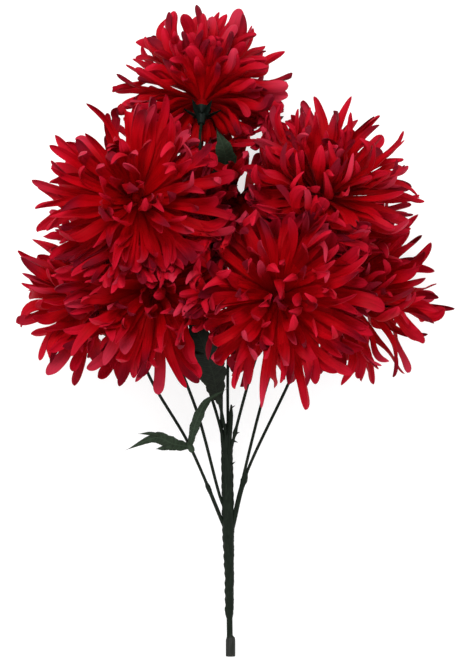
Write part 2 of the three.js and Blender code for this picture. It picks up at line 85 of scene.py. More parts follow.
# Layers of petals, from the lowest up: the height of their roots on the core, how steeply they leave it
# and end (degrees), their length, their width, and the inner share "web" that is one sheet of fabric.
# The model has "count" petals in a layer, and here are SLOTS times as many.
LAYERS = [
    dict(count=5, height=1.5, rise=-24, end=-84, length=62, width=13, web=0.36),
    dict(count=6, height=4, rise=0, end=-54, length=76, width=13, web=0.4),
    dict(count=6, height=6.5, rise=16, end=-20, length=80, width=12, web=0.42),
    dict(count=6, height=9, rise=24, end=14, length=80, width=11.4, web=0.46),
    dict(count=6, height=11.5, rise=30, end=52, length=76, width=11.4, web=0.5),
    dict(count=5, height=14, rise=34, end=80, length=69, width=11.4, web=0.54),
    dict(count=3, height=16, rise=44, end=96, length=62, width=11.6, web=0.56),
    dict(count=2, height=18, rise=62, end=106, length=53, width=11.6, web=0.56),
]
SLOTS = 4
LAYER_TURN = 0.38
ROOT_RADIUS = 4
SLOPE_POWER = 1.1
LAYER_WAVE = dict(waves=3, rise=15)
CURL_POWER = 1.5
PETAL_STEPS = 18

# How far a petal may differ from its layer, either way.
PETAL_SPREAD = dict(turn=0.2, rise=8, end=24, length=0.12, roll=85, sway=0.8, curl=80)

# On a head that leans back, petals on the side away from the surface stand steeper by these degrees,
# are shorter and curl less by these shares, and so leave its calyx in sight.
LIFT = dict(rise=55, end=85, shorter=0.12, calmer=0.8)

# How petals bend away from neighbouring heads, branches and the surface.
BEND_BAND = 12
BRANCH_BAND = 9
BRANCH_BERTH = 5
OWN_BRANCH_FREE = 36
SURFACE_PRESS = 3
NEIGHBOUR_GAP = 0.4
HEAD_MIDDLE = 22
OPENING_UP = 0.5
OVERHANG = 0.6
OVERHANG_FADE = 45

LEAF_STALK = [(-2, 156, 25), (-2.4, 173, 30), (-6, 194, 40), (-9.5, 207, 46)]

# Leaves: each has a sleeve on its branch at the place nearest to "near", and lobes. "spine" holds the
# places along a lobe's middle, after the sleeve where it grows from that, and "side" the way it is wide.
LEAVES = [
    dict(name="centre", branch="stalk", near=(-9.5, 205, 48), lobes=[
        dict(from_sleeve=True, spine=[(-14, 228, 64), (-22, 250, 80), (-34, 274, 84)],
             side=(1, 0.4, 0), width=24),
        dict(from_sleeve=False, spine=[(-18, 240, 73), (-28, 244, 78), (-35, 250, 75)],
             side=(-0.4, 1, 0), width=9),
    ]),
    dict(name="left", branch="lower_left", near=(-31, 164, 27), lobes=[
        dict(from_sleeve=True, spine=[(-44, 168, 33), (-56, 173, 34), (-82, 163, 26)],
             side=(0, 1, 0.2), width=11),
        dict(from_sleeve=False, spine=[(-42, 166, 32), (-50, 165, 34), (-58, 164, 32)],
             side=(0, 1, 0), width=4),
        dict(from_sleeve=False, spine=[(-52, 173, 34), (-60, 176, 35), (-72, 176, 33)],
             side=(0, 1, 0), width=3),
        dict(from_sleeve=True, spine=[(-28, 178, 42), (-24, 190, 53), (-17, 202, 58), (-1, 212, 60)],
             side=(1, -0.4, 0), width=8),
    ]),
    dict(name="under_top", branch="top", near=(-14, 372, 62), lobes=[
        dict(from_sleeve=True, spine=[(-4, 386, 88), (-4, 400, 102), (-10, 416, 106)],
             side=(1, 0.3, 0.2), width=17),
    ]),
    dict(name="lower_left", branch="lower_left", near=(-70, 255, 38), lobes=[
        dict(from_sleeve=True, spine=[(-82, 252, 42), (-95, 254, 46), (-108, 258, 46)],
             side=(0, 0.3, 1), width=13),
    ]),
]

# Upright gaps that petals leave open, from the height "low" up.
GAPS = [
    dict(at=(-13, 226), low=60, berth=9), dict(at=(-20, 243), low=70, berth=10),
    dict(at=(-27, 257), low=80, berth=8), dict(at=(-5, 396), low=104, berth=6),
    dict(at=(-22, 421), low=88, berth=9), dict(at=(-99, 251), low=50, berth=6),
    dict(at=(11, 371), low=50, berth=6), dict(at=(18, 372), low=50, berth=4),
]
GAP_TOP = 190

# How many straight stretches stand for each of these when petals bend away from them.
STRETCHES = dict(branch=24, stalk=6, lobe=6)
LOBE_BERTH = 2

LEAF_STATION = 7.5
LEAF_SLIM = 8
LEAF_TOOTH = 0.1
LEAF_FOLD = 0.24
LEAF_SWELL = dict(start=0.1, over=0.88)
SLEEVE_RADIUS = 2.6
SLEEVE_LENGTH = 9

# Profiles of (height, radius) that are turned round a head's axis.
CORE_PROFILE = [(-2, 5.4), (3, 5.6), (9, 5.5), (14, 4.9), (18, 3.4), (20, 0.6)]
CALYX_PROFILE = [(-17, 2.7), (-15, 3.1), (-11, 3.9), (-7, 5.4), (-4.5, 6.9), (-3, 7.3), (-2.6, 6.2)]

# -------------------------------- numbers of the finer pieces

# Layers that some heads have besides, where the model's broader petals hide more than these finer ones.
EXTRA_LAYERS = dict(
    top=[
        dict(count=5, height=2.6, rise=-12, end=-72, length=74, width=13, web=0.36),
        dict(count=5, height=4.5, rise=8, end=-66, length=74, width=13, web=0.3),
        dict(count=5, height=11, rise=-2, end=-48, length=66, width=13, web=0.3),
        dict(count=5, height=8, rise=4, end=-20, length=60, width=13, web=0.1),
    ],
    upper_right=[dict(count=6, height=5.5, rise=6, end=-12, length=76, width=13, web=0.42)],
    back=[dict(count=6, height=7.5, rise=14, end=-6, length=80, width=12, web=0.42)],
)

# Stations along a petal, closer together towards its round tip, and points across it.
PETAL_STATIONS = 1 - (1 - np.linspace(0, 1, 20)) ** 1.7
PETAL_ACROSS = np.linspace(-1, 1, 5)

# A petal's width as shares of its layer's, and how its outline swells and then rounds off, sooner in
# slim petals, which most of those in the upper layers are. A range named "over" is where something sets
# in, and a number named "seed" makes another draw from a petal's seed.
PETAL_WIDTH = dict(usual=0.8, spread=0.26, lifted_less=0.3)
PETAL_SWELL = dict(least=0.8, over=(0.35, 0.75))
PETAL_TIP = dict(start=0.9, slim_sooner=0.3, bow=2.2, power=0.5, slim_power=0.1)
PETAL_NARROWEST = 0.04
SLIM = dict(web_over=(0.38, 0.58), spread=0.7, seed=3.7)

# The sheet of a layer: its petals overlap a little there and are folded into their share of the ring.
WEB = dict(overlap=1.1, fold=0.8, frees=(-0.05, 0.2))

# The relief of a petal: a hook (degrees, one way and back), a channel, a cup in some, a crease along
# the middle and wavy edges.
PETAL_HOOK = 28
PETAL_CHANNEL = dict(depth=1.6, least=0.5, over=(0.25, 0.5))
PETAL_CUP = dict(depth=2.8, narrowing=0.32, seed=5.3, seeds_over=(0.1, 0.8), after_web=0.3)
PETAL_CREASE = dict(depth=0.3, over=(0.1, 0.4))
PETAL_WAVE = dict(depth=0.5, turns=9, more_turns=6, seed=7, offset=0.31, over=(0.2, 0.6), tip_power=4)
PETAL_THICKNESS = 0.35
PETAL_EDGE_THINNING = 0.8
BOUNDARY_PASSES = 4

# The handle: a bare foot, a grip wound with tape, and rods that show in the bundle above it.
HANDLE_STEP = 1.2
HANDLE_SIDES = 30
FOOT_END = 15
TAPE = dict(start=34, end=118, fade=10, pitch=7, edge=0.35)
RODS = dict(start=112, fade=20, count=7, twist=0.01, depth=0.9, groove=0.7)
LUMPS = [dict(depth=0.2, along=0.9, around=2), dict(depth=0.14, along=0.31, around=-3)]

# Branches, with knobs and short sleeves on some, a stub that was cut off, and small spurs.
BRANCH_STEP = 3
BRANCH_SIDES = 10
KNOBS = [
    dict(branch="lower_left", near=(-15, 134, 21), swell=0.8, reach=2.6),
    dict(branch="lower_right", near=(9.4, 141, 23), swell=0.9, reach=3.2),
    dict(branch="lower_centre", near=(6, 177, 36), swell=0.8, reach=2.2),
]
STUB = dict(route=[(0, 160, 29), (1.4, 182, 35), (1.8, 199, 38)], radii=[1.6, 1.5, 1.4, 1.6, 1.8, 0.7],
            pieces=20)
SPURS = [
    dict(start=(1.8, 196.5, 37.6), end=(5, 198.4, 39), radius=0.8),
    dict(start=(4.4, 176, 35.5), end=(8.4, 177.2, 37), radius=1.2),
    dict(start=(3.4, 170.5, 33.5), end=(7, 169.2, 35), radius=1.0),
    dict(start=(2.2, 152, 26), end=(5, 154, 28), radius=0.9),
]
SPUR_TIP = 0.1
SPUR_STATIONS = 4
SPUR_SIDES = 6
BRANCH_SLEEVES = [
    dict(branch="lower_right", end=45, radius=2.1),
    dict(branch="lower_left", end=42, radius=1.6),
]
BRANCH_SLEEVE_FADE = 6

CORE_SIDES = 20
CALYX_SIDES = 24
CALYX_RIDGE = 0.05
SEPALS = dict(count=6, length=13, width=5.2, from_height=-9, from_radius=4, rise=28, thickness=0.5,
              tip=0.2, fold=0.4, stations=10)

LOBE_ACROSS = np.linspace(-1, 1, 9)
STATIONS_PER_TOOTH = 16
FINE_TEETH = dict(per_tooth=4, depth=0.045)
TOOTH_LEAN = 0.7
LEAF_THICKNESS = 0.45
LEAF_EDGE_THINNING = 0.6
LEAF_WAVE = dict(depth=0.06, turns=11)
LEAF_TIP_POWER = 8
LEAF_NARROWEST = 0.12
SLEEVE_ROUNDING = 0.35
SLEEVE_STATIONS = 7
SLEEVE_SIDES = 16

# A way that no tube goes, and how many degrees make an edge between faces sharp.
ASLANT = (0.31, 0.17, 0.94)
SHARP_EDGE = 50

# The photo's frame in pixels, and the stem's cut end in it. The camera is so far off that the spray's
# depth hardly shows, and its scale is right at SCALE_HEIGHT.
PHOTO_SIZE = (455, 668)
PHOTO_CUT_END = (229, 658)
MM_PER_PIXEL = 0.786
CAMERA_DISTANCE = 10000
SCALE_HEIGHT = 60

# Colours and patterns. A list is a ramp: values from 0 to 1 with the colour at each.
# Petal red from root to tip: darker towards the root, and pinker at the tip as painted highlight.
PETAL_REDS_AND_TIP_HIGHLIGHT = [(0.0, (0.26, 0.0, 0.001)), (0.35, (0.40, 0.0, 0.002)),
              (0.7, (0.42, 0.001, 0.006)), (1.0, (0.44, 0.006, 0.024))]
PETAL_OWN_SHADES = [(0.0, (0.72, 0.7, 0.7)), (0.5, (1, 1, 1))]
PETAL_STREAKS = [(0.3, (0.72, 0.6, 0.6)), (0.5, (1, 1, 1)), (0.72, (1.08, 1.3, 1.3))]
PLUM_TIPS = dict(colour=(0.075, 0.003, 0.01), above=0.8, strength=0.8)
# Paler pink tips on some petals: painted highlight.
PAINTED_HIGHLIGHT_TIPS = dict(colour=(0.46, 0.036, 0.075), below=0.14, strength=0.5)
TIPS = dict(over=(0.6, 0.95), seed=7.13)
STREAK_STRETCH = (1.6, 1.4, 90)
PLEAT_STRETCH = (9, 1, 70)
PETAL_SHEEN = (1.0, 0.5, 0.62)
LIGHT_THROUGH = dict(colour=(0.75, 0.004, 0.01), share=0.25)
STEM_GREEN = (0.006, 0.01, 0.006)
CALYX_GREEN = (0.004, 0.008, 0.006)
BARE_PLASTIC = (0.021, 0.022, 0.02)
# Streaks in the plastic: darker ones, and lighter ones that are partly painted highlight along the rods'
# ridges.
PLASTIC_STREAKS_AND_HIGHLIGHTS = [(0.3, (0.55, 0.6, 0.55)), (0.6, (1, 1, 1)), (0.8, (1.9, 1.8, 1.8))]
LEAF_GREENS = dict(dark=(0.011, 0.018, 0.01), pale=(0.021, 0.034, 0.019), vein=(0.032, 0.05, 0.03))
# Darker greens for the centre leaf, which lies under the heads: painted shade.
PAINTED_SHADE_LEAF_GREENS = dict(dark=(0.004, 0.005, 0.003), pale=(0.009, 0.012, 0.007), vein=(0.014, 0.019, 0.012))
PAINTED_SHADE_LEAVES = ("centre",)

# A leaf's pattern is measured in lengths of PATTERN_UNIT: its midrib and its slanting side veins.
PATTERN_UNIT = 10
VEINS = dict(midrib=(0.02, 0.07), side=(0.04, 0.12), often=2.2, slant=2.0, side_strength=0.7, strength=0.6)

# The floor and the light, with places and sizes in metres, as the frame has them.
FLOOR = dict(half=6, below=0.0003, shade=0.36, glow=0.7)
KEY_LIGHT = dict(place=(-0.3, 1.2, 2.3), target=(0, 0, 0.08), size=0.9, power=47)
WORLD_STRENGTH = 1.36


# -------------------------------- small helpers

def to_scene(points):
    """Turns places measured from the cut end, in millimetres, into the frame's metres."""
    return (np.asarray(points, float) - CUT_END_TO_MIDDLE) * METRES


def unit(vectors):
    return vectors / np.maximum(np.linalg.norm(vectors, axis=-1, keepdims=True), 1e-9)


def dot(one, other):
    return np.sum(one * other, axis=-1)


def smoothstep(low, high, values):
    share = np.clip((values - low) / (high - low), 0, 1)
    return share * share * (3 - 2 * share)


def seeded_random(*keys):
    """A repeatable run of numbers from -1 to 1, the same as in the model's source."""
    state = 12345

    def following():
        nonlocal state
        state = (state * 1664525 + 1013904223) % 4294967296
        return state / 4294967296 * 2 - 1

    for key in keys:
        state = (state + key * 2654435) % 4294967296
        following()
    return following


class SmoothCurve:
    """A centripetal Catmull-Rom curve through places, as in the model's source."""

    def __init__(self, places, pieces=200):
        self.places = np.asarray(places, float)
        self.fine = np.array([self.point(share) for share in np.linspace(0, 1, pieces + 1)])
        steps = np.linalg.norm(np.diff(self.fine, axis=0), axis=1)
        self.lengths = np.concatenate([[0], np.cumsum(steps)])

    def point(self, share):
        places = self.places
        last = len(places) - 1
        number = min(int(share * last), last - 1)
        weight = share * last - number
        start, end = places[number], places[number + 1]
        before = places[number - 1] if number > 0 else 2 * places[0] - places[1]
        after = places[number + 2] if number + 2 <= last else 2 * places[last] - places[last - 1]
        gaps = [np.linalg.norm(b - a) ** 0.5 for a, b in ((before, start), (start, end), (end, after))]
        leave = (start - before) / gaps[0] - (end - before) / (gaps[0] + gaps[1]) + (end - start) / gaps[1]
        arrive = (end - start) / gaps[1] - (after - start) / (gaps[1] + gaps[2]) + (after - end) / gaps[2]
        leave, arrive = leave * gaps[1], arrive * gaps[1]
        cubic = 2 * (start - end) + leave + arrive
        square = 3 * (end - start) - 2 * leave - arrive
        return ((cubic * weight + square) * weight + leave) * weight + start

    @property
    def length(self):
        return self.lengths[-1]

    def spaced(self, pieces):
        """Places with the same length of curve between them."""
        wanted = np.linspace(0, self.length, pieces + 1)
        return np.stack([np.interp(wanted, self.lengths, self.fine[:, axis]) for axis in range(3)], axis=1)


# -------------------------------- camera

def make_camera():
    """Looks straight down on the spray, with the cut end where the photo has it."""
    width, height = PHOTO_SIZE
    middle_x = (width / 2 - PHOTO_CUT_END[0]) * MM_PER_PIXEL
    middle_y = (PHOTO_CUT_END[1] - height / 2) * MM_PER_PIXEL
    data = bpy.data.cameras.new("camera")
    data.sensor_fit = "VERTICAL"
    data.sensor_height = 36
    data.lens = data.sensor_height * (CAMERA_DISTANCE - SCALE_HEIGHT) / (height * MM_PER_PIXEL)
    data.clip_end = 2 * CAMERA_DISTANCE * METRES
    camera = bpy.data.objects.new("camera", data)
    camera.location = to_scene((middle_x, middle_y, CAMERA_DISTANCE))
    bpy.context.scene.collection.objects.link(camera)
    bpy.context.scene.camera = camera


make_camera()


# -------------------------------- heads and what petals bend away from

def make_head(number, bloom):
    base = np.array(bloom["base"], float)
    axis = unit(np.array(bloom["faces"], float))
    across = unit(np.array([1.0, 0, 0]) - axis * axis[0])
    along = np.cross(axis, across)
    necks = [base - axis * below for below in NECKS]
    branch = SmoothCurve([*bloom["route"], *necks, base, base + axis * PEG_LENGTH])
    own = {name: bloom[name] for name in ("name", "size", "closed", "lifted")}
    return dict(own, number=number, base=base, axis=axis, across=across, along=along, branch=branch,
                middle=base + axis * HEAD_MIDDLE)


def boundaries_of(head, heads):
    """The flat boundaries that a head's petals stay inside, and the surface: (normal, reach, press)."""
    boundaries = []
    for other in heads:
        if other is head:
            continue
        normal = unit(other["middle"] - head["middle"])
        above = head["base"][2] - other["base"][2]
        normal[2] -= np.sign(above) * OVERHANG * max(1 - abs(above) / OVERHANG_FADE, 0)
        normal = unit(normal)
        halfway = (head["middle"] + other["middle"]) / 2
        boundaries.append((normal, halfway @ normal - NEIGHBOUR_GAP, 0))
    boundaries.append((np.array([0, 0, -1.0]), 0, SURFACE_PRESS))
    return boundaries


def seat_of(leaf, branches):
    """Where a leaf's sleeve sits: the place on its branch nearest to "near", and the way there."""
    branch = branches[leaf["branch"]]
    fine = branch.fine
    half = int(np.ceil(SLEEVE_LENGTH / 2 / (branch.length / len(fine))))
    nearest = int(np.argmin(np.linalg.norm(fine - np.array(leaf["near"]), axis=1)))
    nearest = min(max(nearest, half), len(fine) - 1 - half)
    return fine[nearest], unit(fine[nearest + 1] - fine[nearest - 1])


def spine_curve(lobe, leaf, branches):
    start = [seat_of(leaf, branches)[0]] if lobe["from_sleeve"] else []
    return SmoothCurve([*start, *lobe["spine"]])


def make_stretches(heads, branches):
    """Short straight stretches of branches, leaves and gaps: (start, end, berth, number of own head)."""
    stretches = []

    def add(curve, pieces, berth, owner):
        places = curve.spaced(pieces)
        stretches.extend((places[i], places[i + 1], berth, owner) for i in range(pieces))

    for head in heads:
        add(head["branch"], STRETCHES["branch"], BRANCH_BERTH, head["number"])
    add(branches["stalk"], STRETCHES["stalk"], BRANCH_BERTH, None)
    for leaf in LEAVES:
        for lobe in leaf["lobes"]:
            add(spine_curve(lobe, leaf, branches), STRETCHES["lobe"], lobe["width"] / 2 + LOBE_BERTH, None)
    for gap in GAPS:
        add(SmoothCurve([(*gap["at"], height) for height in (gap["low"], GAP_TOP)]), 1, gap["berth"], None)
    return stretches


heads = [make_head(number, bloom) for number, bloom in enumerate(BLOOMS)]
branches = {head["name"]: head["branch"] for head in heads}
branches["stalk"] = SmoothCurve(LEAF_STALK)
for head in heads:
    head["boundaries"] = boundaries_of(head, heads)
stretches = make_stretches(heads, branches)


# -------------------------------- petals

def petal_settings(head):
    """What the petals of a head start with: for each name, an array with a value for each petal.

    Numbers are drawn in the order of the model's source, and those for the scene alone come last.
    """
    names = ("angle", "height", "web", "rise", "end", "length", "roll", "sway", "curl", "width", "hook",
             "seed", "around")
    rows = []
    for layer_number, layer in enumerate([*LAYERS, *EXTRA_LAYERS.get(head["name"], [])]):
        phase = math.pi * seeded_random(head["number"], layer_number)()
        upward = layer_number / (len(LAYERS) - 1) if layer_number < len(LAYERS) else 0
        for slot in range(SLOTS * layer["count"]):
            random = seeded_random(head["number"], layer_number, slot)
            turn = slot / SLOTS + layer_number * LAYER_TURN + PETAL_SPREAD["turn"] * random()
            angle = turn / layer["count"] * 2 * math.pi
            wave = math.sin(LAYER_WAVE["waves"] * angle + phase)
            out_height = head["across"][2] * math.cos(angle) + head["along"][2] * math.sin(angle)
            lift = head["lifted"] * max(out_height, 0) * (1 - upward)
            rise = layer["rise"] + head["closed"] * upward + LIFT["rise"] * lift
            rise = rise + LAYER_WAVE["rise"] * wave + PETAL_SPREAD["rise"] * random()
            end = layer["end"] + LIFT["end"] * lift + PETAL_SPREAD["end"] * random()
            length = head["size"] * layer["length"] * (1 - LIFT["shorter"] * lift)
            length = length * (1 + PETAL_SPREAD["length"] * random())
            roll = math.radians(PETAL_SPREAD["roll"] * random())
            sway = PETAL_SPREAD["sway"] * random()
            curl = PETAL_SPREAD["curl"] * (1 - LIFT["calmer"] * lift) * random()
            width = layer["width"] * (PETAL_WIDTH["usual"] + PETAL_WIDTH["spread"] * random())
            width = width * (1 - PETAL_WIDTH["lifted_less"] * lift)
            hook = PETAL_HOOK * random()
            rows.append((angle, layer["height"], layer["web"], rise, end, length, roll, sway,
                         curl, width, hook, 0.5 + 0.5 * random(), SLOTS * layer["count"]))
    columns = np.array(rows).T
    return dict(zip(names, columns))


def turned_about(vectors, axes, angles):
    """Turns each vector about its own axis, where the two are square to each other."""
    return vectors * np.cos(angles) + np.cross(axes, vectors) * np.sin(angles)


def press_back(forward, width, place, head):
    """Bends the ways that petals go and are wide, where a wall is near: see the model's source."""
    for normal, reach, press in head["boundaries"]:
        strength = np.clip(1 - (reach + press - place @ normal) / BEND_BAND, 0, 1)[:, None]
        if strength.any():
            forward, width = pressed(forward, width, normal, strength, True, head)
    for start, end, berth, owner in stretches:
        if owner == head["number"] and np.linalg.norm(end - head["base"]) < OWN_BRANCH_FREE:
            continue
        line = end - start
        share = np.clip((place - start) @ line / (line @ line), 0, 1)[:, None]
        toward = start + share * line - place
        distance = np.linalg.norm(toward, axis=1, keepdims=True)
        strength = np.clip(1 - (distance - berth) / BRANCH_BAND, 0, 1)
        if strength.any():
            forward, width = pressed(forward, width, toward / distance, strength, False, head)
    return forward, width


def pressed(forward, width, normal, strength, flat, head):
    normal = np.broadcast_to(normal, forward.shape)
    into = np.maximum(dot(forward, normal), 0)[:, None]
    opened = forward + head["axis"] * into * strength * OPENING_UP
    opened = opened - normal * np.maximum(dot(opened, normal), 0)[:, None] * strength
    forward = np.where(into > 0, opened, forward)
    if flat:
        width = width - normal * dot(width, normal)[:, None] * strength
    return forward, width


def petal_paths(head, petals):
    """Follows all petals of a head from root to tip: places, and the ways they are wide and face up."""
    angle = petals["angle"][:, None]
    out = head["across"] * np.cos(angle) + head["along"] * np.sin(angle)
    side = np.cross(head["axis"], out)
    place = head["base"] + head["axis"] * petals["height"][:, None] + out * ROOT_RADIUS
    places, widths, ups = [], [], []
    for step in range(PETAL_STEPS + 1):
        share = step / PETAL_STEPS
        slope = petals["rise"] + (petals["end"] - petals["rise"]) * share ** SLOPE_POWER
        free = np.maximum(share - petals["web"], 0) / (1 - petals["web"])
        slope = slope + petals["curl"] * free ** CURL_POWER + petals["hook"] * np.sin(2 * math.pi * free)
        slope = np.radians(slope)[:, None]
        forward = out * np.cos(slope) + head["axis"] * np.sin(slope)
        forward = unit(forward + side * (petals["sway"] * free)[:, None])
        width = turned_about(side, forward, (petals["roll"] * free)[:, None])
        forward, width = press_back(forward, width, place, head)
        forward = unit(forward)
        width = unit(width - forward * dot(width, forward)[:, None])
        places.append(place)
        widths.append(width)
        ups.append(np.cross(forward, width))
        place = place + forward * petals["length"][:, None] / PETAL_STEPS
    return [np.stack(ways, axis=1) for ways in (places, widths, ups)]


def at_stations(values):
    """Reads a path's values between its steps, along a smooth curve."""
    position = PETAL_STATIONS * PETAL_STEPS
    number = np.minimum(position.astype(int), PETAL_STEPS - 1)
    weight = (position - number)[None, :, None]
    before = 2 * values[:, :1] - values[:, 1:2]
    after = 2 * values[:, -1:] - values[:, -2:-1]
    padded = np.concatenate([before, values, after], axis=1)
    p0, p1, p2, p3 = (padded[:, number + shift] for shift in range(4))
    return p1 + 0.5 * weight * (p2 - p0 + weight * (2 * p0 - 5 * p1 + 4 * p2 - p3
                                                    + weight * (3 * (p1 - p2) + p3 - p0)))


def petal_outline(share, slim):
    """How wide a petal is along its length, from 0 to 1: round at its tip, or drawn out if slim."""
    start = PETAL_TIP["start"] - PETAL_TIP["slim_sooner"] * slim
    beyond = np.clip((share - start) / (1 - start), 0, 1)
    power = PETAL_TIP["power"] + PETAL_TIP["slim_power"] * slim
    least = PETAL_SWELL["least"]
    swell = least + (1 - least) * smoothstep(*PETAL_SWELL["over"], share)
    return np.maximum(swell * (1 - beyond ** PETAL_TIP["bow"]) ** power, PETAL_NARROWEST)


def petal_sheets(head, petals):
    """The middle sheet of each petal: petal, station, point across.

    Near the root a petal has no more room than its share of the ring that its layer's sheet makes, and
    is folded down where it is wider than that. Further out it is free.
    """
    place, width, up = (at_stations(values) for values in petal_paths(head, petals))
    width, up = unit(width), unit(up)
    share = PETAL_STATIONS[None, :, None]
    across = PETAL_ACROSS[None, None, :]
    seed, web, breadth, length, around = (
        petals[name][:, None, None] for name in ("seed", "web", "width", "length", "around"))

    arc = WEB["overlap"] * math.pi / around
    off_axis = place - head["base"]
    off_axis = np.linalg.norm(off_axis - head["axis"] * (off_axis @ head["axis"])[..., None], axis=2)
    slim = smoothstep(*SLIM["web_over"], web) + SLIM["spread"] * (seed * SLIM["seed"] % 1 - 0.5)
    outline = petal_outline(share, np.clip(slim, 0, 1))
    flat = np.minimum(breadth / 2, arc * (ROOT_RADIUS + share * length)) * outline
    free = smoothstep(web + WEB["frees"][0], web + WEB["frees"][1], share)
    half = np.minimum(flat, arc * off_axis[..., None] + flat * free)
    fold = WEB["fold"] * np.sqrt(flat ** 2 - half ** 2)

    cup = smoothstep(*PETAL_CUP["seeds_over"], seed * PETAL_CUP["seed"] % 1)
    cup = cup * smoothstep(web, web + PETAL_CUP["after_web"], share)
    half = half * (1 - PETAL_CUP["narrowing"] * cup)
    channel = PETAL_CHANNEL["depth"] * (PETAL_CHANNEL["least"] + seed)
    channel = channel * smoothstep(*PETAL_CHANNEL["over"], share)
    depth = fold + (channel + PETAL_CUP["depth"] * cup) * outline
    crease = PETAL_CREASE["depth"] * (across == 0) * smoothstep(*PETAL_CREASE["over"], share)
    phase = 2 * math.pi * (seed * PETAL_WAVE["seed"] + np.sign(across) * PETAL_WAVE["offset"])
    turns = PETAL_WAVE["turns"] + PETAL_WAVE["more_turns"] * seed
    wave = PETAL_WAVE["depth"] * np.sin(share * turns + phase) * across ** 2
    wave = wave * smoothstep(*PETAL_WAVE["over"], share) * (1 - share ** PETAL_WAVE["tip_power"])
    lift = wave - crease - depth * (1 - across ** 2)
    sideways = width[:, :, None] * (half * across)[..., None]
    return place[:, :, None] + sideways + up[:, :, None] * lift[..., None]


def petal_grids(head, petals):
    """The two faces of each petal as grids of places: petal, station, face, point across."""
    middle = petal_sheets(head, petals)
    normal = unit(np.cross(np.gradient(middle, axis=1), np.gradient(middle, axis=2)))
    skin = normal * (PETAL_THICKNESS / 2 * (1 - PETAL_EDGE_THINNING * PETAL_ACROSS ** 2))[:, None]
    faces = np.stack([middle + skin, middle - skin], axis=2)
    for _ in range(BOUNDARY_PASSES):
        for boundary, reach, _press in head["boundaries"]:
            over = (faces @ boundary - reach).max(axis=(2, 3))
            faces = faces - (np.maximum(over, 0)[..., None] * boundary)[:, :, None, None]
    return faces


# -------------------------------- meshes

def blade_quads(stations, across):
    """Faces of a closed thin blade whose points come by station, then face, then point across."""
    def at(station, face, point):
        return (station * 2 + face) * across + point

    quads = []
    for s in range(stations - 1):
        for a in range(across - 1):
            quads.append((at(s, 0, a), at(s + 1, 0, a), at(s + 1, 0, a + 1), at(s, 0, a + 1)))
            quads.append((at(s, 1, a), at(s, 1, a + 1), at(s + 1, 1, a + 1), at(s + 1, 1, a)))
        quads.append((at(s, 0, 0), at(s, 1, 0), at(s + 1, 1, 0), at(s + 1, 0, 0)))
        last = across - 1
        quads.append((at(s, 0, last), at(s + 1, 0, last), at(s + 1, 1, last), at(s, 1, last)))
    for s, order in ((0, 1), (stations - 1, -1)):
        for a in range(across - 1):
            quads.append((at(s, 0, a), at(s, 0, a + 1), at(s, 1, a + 1), at(s, 1, a))[::order])
    return np.array(quads)


def set_attribute(mesh, name, values):
    """Keeps a vector for each point of a mesh, for its material to read."""
    attribute = mesh.attributes.new(name, "FLOAT_VECTOR", "POINT")
    attribute.data.foreach_set("vector", np.asarray(values, np.float32).ravel())


def joined(shells):
    """One set of points, faces and point values from several."""
    points, faces, values = [], [], []
    start = 0
    for shell_points, shell_faces, shell_values in shells:
        points.append(shell_points.reshape(-1, 3))
        faces.extend([[int(corner) + start for corner in face] for face in shell_faces])
        values.append(np.broadcast_to(shell_values, shell_points.shape).reshape(-1, 3))
        start += len(points[-1])
    return np.concatenate(points), faces, np.concatenate(values)


def add_piece(name, shells, attribute, material, replaced):
    """A mesh object made of shells, with its ride and the CAD node that it stands for."""
    points, faces, values = joined(shells)
    mesh = bpy.data.meshes.new(name)
    mesh.from_pydata(to_scene(points).tolist(), [], faces)
    mesh.materials.append(material)
    mesh.shade_smooth()
    mesh.set_sharp_from_angle(angle=math.radians(SHARP_EDGE))
    set_attribute(mesh, attribute, values)
    piece = bpy.data.objects.new(name, mesh)
    bpy.context.scene.collection.objects.link(piece)
    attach(piece, "root")
    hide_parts(replaced)


def side_angles(sides):
    return np.linspace(0, 2 * math.pi, sides, endpoint=False)


def tube_shell(places, radii):
    """A closed tube round a path, with a radius for each place on it and each of its sides."""
    stations, sides = radii.shape
    forward = unit(np.gradient(places, axis=0))
    across = [unit(np.cross(forward[0], ASLANT))]
    for way in forward[1:]:
        across.append(unit(across[-1] - way * dot(across[-1], way)))
    across = np.array(across)[:, None]
    over = np.cross(forward[:, None], across)
    angles = side_angles(sides)[None, :, None]
    points = places[:, None] + radii[..., None] * (across * np.cos(angles) + over * np.sin(angles))
    faces = [list(range(sides))[::-1], [(stations - 1) * sides + side for side in range(sides)]]
    for station in range(stations - 1):
        for side in range(sides):
            near, beside = station * sides + side, station * sides + (side + 1) % sides
            faces.append([near, beside, beside + sides, near + sides])
    return points, faces, np.zeros(3)


def round_tube_shell(places, radius, sides):
    return tube_shell(places, np.repeat(radius[:, None], sides, axis=1))


def turned_shell(profile, head, sides, ridges=0, depth=0.0):
    """A profile of (height, radius) turned round a head's axis, with ridges round it."""
    heights, radii = np.array(profile).T
    places = head["base"] + head["axis"] * heights[:, None]
    wavy = 1 + depth * np.cos(ridges * side_angles(sides))
    return tube_shell(places, radii[:, None] * wavy)


# -------------------------------- heads and calyxes

def petal_shells(head):
    petals = petal_settings(head)
    blades = petal_grids(head, petals)
    quads = blade_quads(len(PETAL_STATIONS), len(PETAL_ACROSS))
    for blade, seed in zip(blades, petals["seed"]):
        values = np.zeros(blade.shape)
        values[..., 0] = PETAL_ACROSS
        values[..., 1] = PETAL_STATIONS[:, None, None]
        values[..., 2] = seed
        yield blade, quads, values


def make_bloom(head, material):
    core = turned_shell(CORE_PROFILE, head, CORE_SIDES)
    shells = [core, *petal_shells(head)]
    name = head["name"]
    add_piece(f"petals_{name}", shells, "petal", material, f"bloom_{name}")


